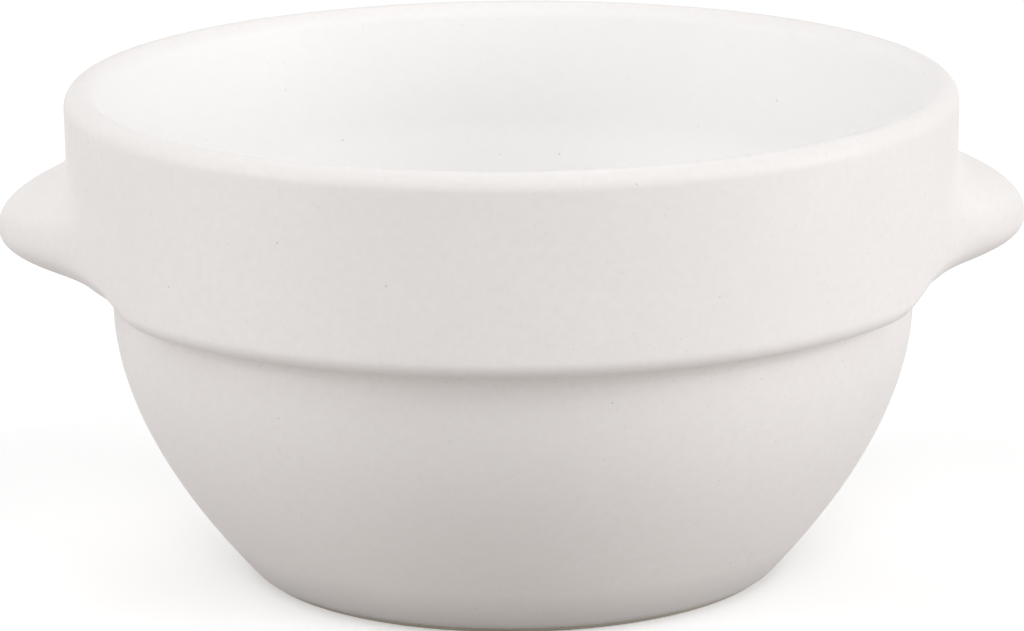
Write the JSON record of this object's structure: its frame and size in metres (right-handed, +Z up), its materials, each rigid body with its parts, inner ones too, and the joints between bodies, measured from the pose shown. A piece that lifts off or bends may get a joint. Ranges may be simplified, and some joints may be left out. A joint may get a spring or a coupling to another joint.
{
  "type": "soup crock",
  "caption": "Round glazed stoneware soup crock with a deep straight collar over a smaller curved bowl, a dry foot ring and solid side lugs.",
  "frame": {"origin": "on the table plane under the bowl's axis, at the middle of the foot ring", "axes": "+X towards the right lug, +Y away from the viewer, +Z up along the bowl's axis from the table to the mouth"},
  "size_m": [0.1384, 0.12, 0.0667],
  "materials": {
    "stoneware": "fired, unglazed",
    "slip": "fired slip",
    "glaze": "satin white glaze"
  },
  "bodies": {
    "root": {"crock_body": "stoneware", "left_lug": "stoneware", "right_lug": "stoneware", "left_slip_joint": "slip", "right_slip_joint": "slip", "lining_glaze": "glaze", "outside_glaze": "glaze", "underside_glaze": "glaze"}
  },
  "joints": []
}
